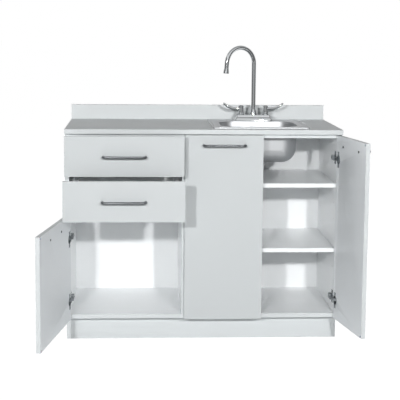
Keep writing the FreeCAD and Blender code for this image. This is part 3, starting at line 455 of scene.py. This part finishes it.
# %% Picking faces by place and direction
def pick(piece, wanted):
    """Enter edit mode with the faces selected for which wanted(centre, normal) holds."""
    choose(piece)
    bpy.ops.object.mode_set(mode="EDIT")
    bpy.ops.mesh.select_mode(type="FACE")
    bpy.ops.mesh.select_all(action="DESELECT")
    bpy.ops.object.mode_set(mode="OBJECT")
    for face in piece.data.polygons:
        face.select = wanted(face.center, face.normal)
    bpy.ops.object.mode_set(mode="EDIT")
    return piece


def close_up(piece, smooth_below=SMOOTH_BELOW):
    """Merge doubles, turn all faces outwards and shade the curved ones smooth."""
    choose(piece)
    bpy.ops.object.mode_set(mode="EDIT")
    bpy.ops.mesh.select_all(action="SELECT")
    bpy.ops.mesh.remove_doubles(threshold=MERGE)
    bpy.ops.mesh.normals_make_consistent(inside=False)
    bpy.ops.object.mode_set(mode="OBJECT")
    bpy.ops.object.shade_smooth_by_angle(angle=smooth_below)
    return piece


def join(*pieces):
    """Make one piece of several; the first one gives its name."""
    bpy.ops.object.select_all(action="DESELECT")
    for piece in pieces:
        piece.select_set(True)
    bpy.context.view_layer.objects.active = pieces[0]
    bpy.ops.object.join()
    return bpy.context.object


def copy_of(piece, name):
    """Another piece of the same shape, with a mesh of its own."""
    choose(piece)
    bpy.ops.object.duplicate()
    bpy.context.object.name = name
    return bpy.context.object


def stand(piece, place, towards):
    """Turn a piece that was made along Z at the origin towards a direction, and move it there."""
    piece.rotation_euler = Vector(towards).to_track_quat("Z", "Y").to_euler()
    piece.location = place
    return put_in_place(piece)


# %% [markdown]
# ## A lathe
#
# Hubs, nuts and screws are turned: a bar spins while a tool follows a profile. Here a disc with
# the profile's first radius is extruded along Z to each further height, and its end is resized
# to the radius there. The shape is closed, because the first and the last disc stay.

# %% Turned pieces
def turned(name, profile, sides=48):
    """Turned piece along Z from (radius, height) points in mm."""
    bpy.ops.object.select_all(action="DESELECT")
    radius, height = profile[0]
    bpy.ops.mesh.primitive_circle_add(vertices=sides, radius=radius * MM, fill_type="NGON",
                                      location=(0, 0, height * MM))
    piece = put_in_place(bpy.context.object)
    piece.name = name
    bpy.ops.object.mode_set(mode="EDIT")
    bpy.ops.mesh.select_all(action="SELECT")
    for next_radius, next_height in profile[1:]:
        rise = (0, 0, (next_height - height) * MM)
        bpy.ops.mesh.extrude_region_move(TRANSFORM_OT_translate={"value": rise})
        change = next_radius / radius
        bpy.ops.transform.resize(value=(change, change, 1),
                                 center_override=(0, 0, next_height * MM))
        radius, height = next_radius, next_height
    bpy.ops.object.mode_set(mode="OBJECT")
    return close_up(piece)


# %% [markdown]
# ## The sink's pressed bead
#
# A thin sheet would ripple, so the press leaves a low rounded bead all round the sink, a little
# inside its rim. It starts as a flat sheet with rounded corners. An inset makes it a ring, the
# middle is deleted, and the ring is raised and inset twice, which rounds its top.

# %% Pressed bead
BEAD_INSET, BEAD_WIDTH, BEAD_CORNER = 8, 6, 12
BEAD_START, BEAD_WALL = -0.3, 0.8  # height of its foot from the deck, and of its upright wall
BEAD_ROUNDING = ((1.1, 0.6), (0.9, 0.3))
bead_foot = (bowl_middle.x, bowl_middle.y, bowl_high.z + BEAD_START * MM)
bpy.ops.object.select_all(action="DESELECT")
bpy.ops.mesh.primitive_plane_add(size=1, location=bead_foot)
bead = bpy.context.object
bead.name = "sink_bead"
bead.scale = (bowl_high.x - bowl_low.x - 2 * BEAD_INSET * MM,
              bowl_high.y - bowl_low.y - 2 * BEAD_INSET * MM, 1)
put_in_place(bead)
bpy.ops.object.mode_set(mode="EDIT")
bpy.ops.mesh.select_all(action="SELECT")
bpy.ops.mesh.bevel(offset=BEAD_CORNER * MM, segments=6, affect="VERTICES")
bpy.ops.object.mode_set(mode="OBJECT")
pick(bead, lambda centre, normal: True)
bpy.ops.mesh.inset(thickness=BEAD_WIDTH * MM)
bpy.ops.mesh.delete(type="FACE")
bpy.ops.mesh.select_all(action="SELECT")
bpy.ops.mesh.extrude_region_move(TRANSFORM_OT_translate={"value": (0, 0, BEAD_WALL * MM)})
for inset, rise in BEAD_ROUNDING:
    bpy.ops.mesh.inset(thickness=inset * MM, depth=rise * MM)
bpy.ops.object.mode_set(mode="OBJECT")
close_up(bead, math.radians(50))
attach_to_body(bead, "cabinet")
paint(bead, "sink_steel")
print("bead faces:", len(bead.data.polygons))

# %% [markdown]
# ## The cast base of the faucet
#
# The base is a zinc casting under chrome. It starts as a block whose upright edges are rounded,
# and its top face is inset and raised again and again, so that the flanks sweep in like those
# of a casting. The two shanks below it carry a pipe thread with 14 turns to the inch, 1.8 mm
# apart. The thread is drawn as rings, which look the same from outside.

# %% Faucet places
base_low, base_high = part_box("faucet_base")
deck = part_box("sink_basin")[1].z
faucet_x, faucet_y = (base_low.x + base_high.x) / 2, (base_low.y + base_high.y) / 2
hot_box, cold_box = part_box("hot_handle_cap"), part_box("cold_handle_cap")
valve_spread = (cold_box[0].x - hot_box[0].x) / 2
print("deck:", round(deck, 4), "valves:", round(faucet_x - valve_spread, 4),
      round(faucet_x + valve_spread, 4))

# %% Cast base
FOOT_HEIGHT, BASE_CORNER = 3, 15
SKIRT = ((0.4, 0.6), (1.1, 2.4), (1.9, 3.6), (2.3, 2.8), (2.6, 1.1))
RISER = ((0.3, 0.4), (0.6, 3.6), (0.7, 2.9), (0.7, 1.6), (0.8, 1.2), (1.0, 0.8))
bpy.ops.object.select_all(action="DESELECT")
bpy.ops.mesh.primitive_cube_add(size=1, location=(faucet_x, faucet_y, deck + FOOT_HEIGHT * MM / 2))
base = bpy.context.object
base.name = "faucet_base_finished"
base.scale = (base_high.x - base_low.x, base_high.y - base_low.y, FOOT_HEIGHT * MM)
put_in_place(base)
bpy.ops.object.mode_set(mode="EDIT")
bpy.ops.mesh.select_mode(type="EDGE")
bpy.ops.mesh.select_all(action="DESELECT")
bpy.ops.object.mode_set(mode="OBJECT")
for edge in base.data.edges:
    start, end = (base.data.vertices[i].co for i in edge.vertices)
    edge.select = abs(start.z - end.z) > MM
bpy.ops.object.mode_set(mode="EDIT")
bpy.ops.mesh.bevel(offset=BASE_CORNER * MM, segments=10, affect="EDGES")
bpy.ops.object.mode_set(mode="OBJECT")
pick(base, lambda centre, normal: normal.z > FACING)
for inset, rise in SKIRT + RISER:
    bpy.ops.mesh.inset(thickness=inset * MM, depth=rise * MM)
bpy.ops.object.mode_set(mode="OBJECT")
print("base without its shanks:", len(base.data.polygons), "faces")

# %% Threaded shanks
SHANK_RADIUS, SHANK_TOP, SHANK_ROOT, SHANK_END = 11.2, 1, -12, -52
ROOT, CREST, PITCH, FLANK, FLAT, RUNOUT = 9.6, 10.45, 1.8, 0.6, 0.3, 0.5
thread = [(SHANK_RADIUS, SHANK_TOP), (SHANK_RADIUS, SHANK_ROOT)]
turn_z = SHANK_ROOT - RUNOUT
while turn_z > SHANK_END + PITCH:
    thread += [(ROOT, turn_z), (CREST, turn_z - FLANK), (CREST, turn_z - FLANK - FLAT)]
    turn_z -= PITCH
thread += [(ROOT, turn_z), (ROOT, SHANK_END)]
shank = turned("shank", thread, 32)
stand(shank, (faucet_x - valve_spread, faucet_y, deck), (0, 0, 1))
other_shank = copy_of(shank, "other_shank")
other_shank.location.x = 2 * valve_spread
put_in_place(other_shank)
base = close_up(join(base, shank, other_shank))
attach(base, "faucet_base")
print("base faces:", len(base.data.polygons))

# %% [markdown]
# ## Valve bonnets
#
# Each valve is closed by a bonnet, a turned collar with a flange that sits on the base and a
# straight body under the handle. One is turned and copied for the other valve.

# %% Valve bonnets
bonnet = turned("bonnet", [(13.6, 0), (14.5, 0.9), (14.5, 2.6), (12.4, 4.2), (12.4, 13.2),
                           (10.6, 15)])
bonnet_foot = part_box("valve_bonnets")[0].z
stand(bonnet, (faucet_x - valve_spread, faucet_y, bonnet_foot), (0, 0, 1))
other_bonnet = copy_of(bonnet, "other_bonnet")
other_bonnet.location.x = 2 * valve_spread
put_in_place(other_bonnet)
bonnets = join(bonnet, other_bonnet)
attach(bonnets, "valve_bonnets")
print("bonnets stand at", round(bonnet_foot, 4))

# %% [markdown]
# ## Wrist-blade handles
#
# A wrist blade is forged: a flat bar is drawn out, widened to a paddle and swept up at its end,
# so that an elbow or a wrist can push it. The blade starts as a small block at the hub. Its end
# face is extruded from station to station, resized to the blade's width and thickness there and
# twisted a little, and a Subdivision Surface rounds the whole. The hub is turned, with a waist
# below its collar. One handle is made and mirrored for the other valve.

# %% One handle
STATIONS = ((4, 0, 6.8, 12, 0), (15, 0, 6.8, 12, 0), (28, 0.2, 7.8, 12, 6),
            (41, 1.6, 9.8, 12.4, 14), (51, 5.2, 11, 13, 20), (60, 10.6, 11.2, 13, 25),
            (68, 16.4, 10.2, 12, 28), (75, 21, 7, 9, 28))
BLADE_ROOT, HUB_HEIGHT = 10, 21


def turn_end(degrees, centre):
    """Turn the selected end about the blade's length; more degrees lower its front edge."""
    bpy.ops.transform.rotate(value=math.radians(degrees), orient_axis="X", center_override=centre)


def wrist_blade(stations):
    """Blade along X from stations: distance, rise, half-width and thickness in mm, then twist."""
    bpy.ops.object.select_all(action="DESELECT")
    distance, rise, half_width, thickness, twist = stations[0]
    bpy.ops.mesh.primitive_cube_add(size=1, location=(distance * MM, 0, rise * MM))
    blade = bpy.context.object
    blade.scale = (MM, 2 * half_width * MM, thickness * MM)
    put_in_place(blade)
    pick(blade, lambda centre, normal: normal.x > FACING)
    for station in stations[1:]:
        step = ((station[0] - distance) * MM, 0, (station[1] - rise) * MM)
        bpy.ops.mesh.extrude_region_move(TRANSFORM_OT_translate={"value": step})
        change = (1, station[2] / half_width, station[3] / thickness)
        centre = (station[0] * MM, 0, station[1] * MM)
        turn_end(-twist, centre)
        bpy.ops.transform.resize(value=change, center_override=centre)
        distance, rise, half_width, thickness, twist = station
        turn_end(twist, centre)
    bpy.ops.object.mode_set(mode="OBJECT")
    rounding = blade.modifiers.new("Forged rounding", "SUBSURF")
    rounding.levels = rounding.render_levels = 3
    choose(blade)
    bpy.ops.object.modifier_apply(modifier=rounding.name)
    return blade


blade = wrist_blade(STATIONS)
blade.location.z = BLADE_ROOT * MM
put_in_place(blade)
hub = turned("hub", [(10.2, 0), (11, 0.8), (11, 4), (9.6, 5.4), (9.6, 15.2), (11, 16.6),
                     (11, 19.8), (9.8, HUB_HEIGHT), (6.9, HUB_HEIGHT)])
HANDLE_SMOOTH = math.radians(40)
handle = close_up(join(hub, blade), HANDLE_SMOOTH)
print("handle faces:", len(handle.data.polygons))

# %% A handle for each valve
hub_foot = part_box("hot_handle_cap")[0].z - HUB_HEIGHT * MM
for name, side in (("hot_handle", -1), ("cold_handle", 1)):
    made = copy_of(handle, name + "_finished")
    made.scale.x = side
    made.location = (faucet_x + side * valve_spread, faucet_y, hub_foot)
    put_in_place(made)
    close_up(made, HANDLE_SMOOTH)
    attach(made, name)
    front = min(made.data.vertices, key=lambda v: v.co.y).co
    rear = max(made.data.vertices, key=lambda v: v.co.y).co
    print(name, "front edge at", round(front.z, 4), "rear edge at", round(rear.z, 4))
choose(handle)
bpy.ops.object.delete()
print("handles stand at", round(hub_foot, 4))

# %% [markdown]
# ## Hinge screws
#
# Each cup is held by two screws through the ears of its flange, each mounting plate by two
# more, and the arm carries two adjusting screws. A screw head is turned, and its cross recess
# is cut with a Boolean modifier by two thin blocks. One head is made and copied to each place.

# %% One screw head
screw = turned("screw", [(3.6, -1), (3.6, 0.5), (3.3, 1.2), (2.4, 1.8), (1.2, 2.1)], 24)
RECESS_LENGTH, RECESS_WIDTH, RECESS_DEPTH, RECESS_MIDDLE = 4.2, 0.9, 2, 2
cutters = []
for width, depth in ((RECESS_LENGTH, RECESS_WIDTH), (RECESS_WIDTH, RECESS_LENGTH)):
    bpy.ops.object.select_all(action="DESELECT")
    bpy.ops.mesh.primitive_cube_add(size=1, location=(0, 0, RECESS_MIDDLE * MM))
    bpy.context.object.scale = (width * MM, depth * MM, RECESS_DEPTH * MM)
    cutters.append(put_in_place(bpy.context.object))
for cutter in cutters:
    choose(screw)
    recess = screw.modifiers.new("Cross recess", "BOOLEAN")
    recess.operation = "DIFFERENCE"
    recess.object = cutter
    bpy.ops.object.modifier_apply(modifier=recess.name)
for cutter in cutters:
    choose(cutter)
    bpy.ops.object.delete()
print("screw head faces:", len(screw.data.polygons))

# %% Screws of one hinge
joints = {joint["name"]: joint for joint in frame["joints"]}
CUP_AXIS, CUP_FACE, EAR_SCREW = 13.2, 11, 24.5
PLATE_FACE, PLATE_BACK, PLATE_SCREW = 2, 53.5, 19
ARM_FACE, ARM_SCREWS = 19.5, (40, 66)
FLANGE_HALF = 31  # from the end of a cup's flange to the middle of its hinge
WALLS = {"left_door": "left_side_panel", "centre_door": "centre_partition",
         "right_door": "right_side_panel"}
HANGING = {"left_door": (1, DOOR_OPEN), "centre_door": (1, 0), "right_door": (-1, DOOR_OPEN)}


def hinge_screws(door, side, turn, height):
    """Screws of the hinge at a height; side is +1 where the door hangs at its left edge."""
    pivot = Vector(joints[door + "_hinge"]["pos_m"])
    pivot.z = height
    along = Vector((side * math.cos(turn), -math.sin(turn), 0))
    inwards = Vector((side * math.sin(turn), math.cos(turn), 0))
    sideways = Vector((side, 0, 0))
    wall = Vector((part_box(WALLS[door])[1 if side > 0 else 0].x, pivot.y, height))
    cup = pivot + along * CUP_AXIS * MM + inwards * CUP_FACE * MM
    plate = wall + sideways * PLATE_FACE * MM + Vector((0, PLATE_BACK * MM, 0))
    arm = pivot + sideways * ARM_FACE * MM
    spots = [(door, cup + Vector((0, 0, up * EAR_SCREW * MM)), inwards) for up in (-1, 1)]
    spots += [("cabinet", plate + Vector((0, 0, up * PLATE_SCREW * MM)), sideways)
              for up in (-1, 1)]
    spots += [("cabinet", arm + Vector((0, back * MM, 0)), sideways) for back in ARM_SCREWS]
    made = []
    for number, (body, place, towards) in enumerate(spots):
        head = copy_of(screw, "%s_screw_%d_%d" % (door, round(height / MM), number))
        stand(head, place, towards)
        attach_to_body(head, body)
        made.append(paint(head, "hinge_steel"))
    return made


# %% Screws of all hinges
screws = []
for door, (side, turn) in HANGING.items():
    cup_low, cup_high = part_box(door + "_hinge_cups")
    for height in (cup_low.z + FLANGE_HALF * MM, cup_high.z - FLANGE_HALF * MM):
        screws += hinge_screws(door, side, turn, height)
choose(screw)
bpy.ops.object.delete()
print("hinge screws:", len(screws))

# %% [markdown]
# ## Floor, light and background
#
# The floor is a plain pale surface that runs out to white and keeps a faint shadow. Two small
# flood lamps stand in front, left and right, nearly a metre above the counter, and throw
# shadows with a narrow soft edge. Four large soft boxes light the sides and the back. The world
# adds an even, pale light from all round, and it is seen as white by the camera and in
# reflections.

# %% Floor
FLOOR_SIZE, FLOOR_DROP = 120, 0.2
GLOW, GLOW_SHARE = 1.1, 0.9
bpy.ops.object.select_all(action="DESELECT")
bpy.ops.mesh.primitive_plane_add(size=FLOOR_SIZE, location=(0, 0, -FLOOR_DROP * MM))
floor = put_in_place(bpy.context.object)
floor.name = "floor"
ground = bpy.data.materials.new("Pale floor")
tree = blank_tree(ground)
matt = add_node(tree, "ShaderNodeBsdfDiffuse", Color=linear("F0F1F2"))
white = add_node(tree, "ShaderNodeEmission", Color=(1, 1, 1, 1), Strength=GLOW)
path = add_node(tree, "ShaderNodeLightPath")
seen = add_node(tree, "ShaderNodeMath", {"operation": "MAXIMUM"},
                (path.outputs["Is Camera Ray"], path.outputs["Is Glossy Ray"]))
share = add_node(tree, "ShaderNodeMath", {"operation": "MULTIPLY"},
                 (seen.outputs["Value"], GLOW_SHARE))
mixed = add_node(tree, "ShaderNodeMixShader", {},
                 (share.outputs["Value"], matt.outputs["BSDF"], white.outputs["Emission"]))
add_node(tree, "ShaderNodeOutputMaterial", Surface=mixed.outputs["Shader"])
floor.data.materials.append(ground)
print("floor:", FLOOR_SIZE, "m across")

# %% Lamps
FLOOD_SIZE, FLOOD_POWER, BOX_SIZE = 0.15, 92, 2
SOFT_BOXES = (("left rear", (-3.8, 3.4, 1.1), 90), ("right rear", (3.8, 3.4, 1.1), 90),
              ("left side", (-4.6, 1.4, 1.1), 75), ("right side", (4.6, 1.4, 1.1), 75))
middle = Vector((0, -0.3, 0.45))


def flood(name, place, size, power):
    """Square area lamp aimed at the middle of the unit."""
    place = Vector(place)
    bpy.ops.object.light_add(type="AREA", location=place)
    lamp = bpy.context.object
    lamp.name = name
    lamp.rotation_euler = (place - middle).to_track_quat("Z", "Y").to_euler()
    lamp.data.size = size
    lamp.data.energy = power
    return lamp


flood("left flood", (-1.3, -4.75, 1.78), FLOOD_SIZE, FLOOD_POWER)
flood("right flood", (0.95, -4.75, 1.83), FLOOD_SIZE, FLOOD_POWER)
for name, place, power in SOFT_BOXES:
    box = flood(name + " soft box", place, BOX_SIZE, power)
    # Cloth over a soft box is too dim to burn a white stripe into polished metal.
    box.visible_glossy = False

# %% [markdown]
# ## Cards for the metal
#
# A mirror shows the room. White walls all round would make chrome look like white paint, so a
# studio hangs dark cards at the sides and over the floor, and paler ones in front, above and
# behind, with gaps between them that the white shows through as bright streaks. They are hidden
# from the camera, give no light and no shade, and only reflections find them.


# %% Cards
def hang_card(name, tone, place, turn, width, height):
    """Card of an even tone from 0 to 1, turned in degrees about X and Z."""
    bpy.ops.object.select_all(action="DESELECT")
    turn_x, turn_z = turn
    bpy.ops.mesh.primitive_plane_add(size=1, location=place,
                                     rotation=(math.radians(turn_x), 0, math.radians(turn_z)))
    sheet = bpy.context.object
    sheet.name = name
    sheet.scale = (width, height, 1)
    put_in_place(sheet)
    cloth = bpy.data.materials.new(name + " cloth")
    tree = blank_tree(cloth)
    even = add_node(tree, "ShaderNodeEmission", Color=(tone, tone, tone, 1))
    add_node(tree, "ShaderNodeOutputMaterial", Surface=even.outputs["Emission"])
    sheet.data.materials.append(cloth)
    for sight in ("camera", "diffuse", "transmission", "volume_scatter", "shadow"):
        setattr(sheet, "visible_" + sight, False)


hang_card("front card", 0.45, (0, -7, 1.1), (90, 0), 9, 2.2)
hang_card("upper front card", 0.9, (0, -7, 3.3), (90, 0), 9, 2.2)
hang_card("left card", 0.16, (-4.2, -2.2, 2), (90, 90), 7, 4)
hang_card("right card", 0.16, (4.2, -2.2, 2), (90, 90), 7, 4)
hang_card("front ceiling card", 0.85, (0, -3.65, 4.2), (0, 0), 7.5, 4.1)
hang_card("rear ceiling card", 0.4, (0, 0.4, 4.2), (0, 0), 7.5, 4)
hang_card("floor card", 0.2, (0, -3.9, 0.02), (0, 0), 7.5, 4.4)
hang_card("rear card", 0.6, (0, 3, 1.9), (90, 0), 9, 3.4)

# %% World
AMBIENT = 0.11
world = bpy.data.worlds.new("Pale studio")
bpy.context.scene.world = world
tree = blank_tree(world)
around = add_node(tree, "ShaderNodeBackground", Color=(0.97, 0.985, 1.0, 1), Strength=AMBIENT)
backdrop = add_node(tree, "ShaderNodeBackground", Color=(1, 1, 1, 1), Strength=1.0)
path = add_node(tree, "ShaderNodeLightPath")
seen = add_node(tree, "ShaderNodeMath", {"operation": "MAXIMUM"},
                (path.outputs["Is Camera Ray"], path.outputs["Is Glossy Ray"]))
seen = add_node(tree, "ShaderNodeMath", {"operation": "MAXIMUM"},
                (seen.outputs["Value"], path.outputs["Is Transmission Ray"]))
mixed = add_node(tree, "ShaderNodeMixShader", {}, (seen.outputs["Value"],
                 around.outputs["Background"], backdrop.outputs["Background"]))
add_node(tree, "ShaderNodeOutputWorld", Surface=mixed.outputs["Shader"])
bpy.context.scene.view_settings.view_transform = "Standard"
print("light from all round:", AMBIENT)

# %% [markdown]
# ## Camera
#
# The camera stands 4.6 m in front of the wall, a little above the top of the faucet, and looks
# down by seven degrees. A long lens keeps the doors and drawers in natural proportion. A small
# vertical shift keeps the cabinet's sides nearly upright.

# %% Camera
PICTURE, SENSOR = 400, 36
SHIFT_PIXELS = -38
camera_place = Vector((-0.25006, -4.61727, 1.24003))
turn, tilt, roll = 0.0551, 0.12635, -0.00875
focal_pixels = 1091.6
bpy.ops.object.camera_add(location=camera_place)
camera = bpy.context.object
camera.name = "camera"
camera.rotation_euler = (math.pi / 2 - tilt, roll, -turn)
camera.data.sensor_width = SENSOR
camera.data.lens = focal_pixels * SENSOR / PICTURE
camera.data.shift_y = SHIFT_PIXELS / PICTURE
camera.data.clip_end = 60
bpy.context.scene.camera = camera
print("lens:", round(camera.data.lens, 1), "mm")
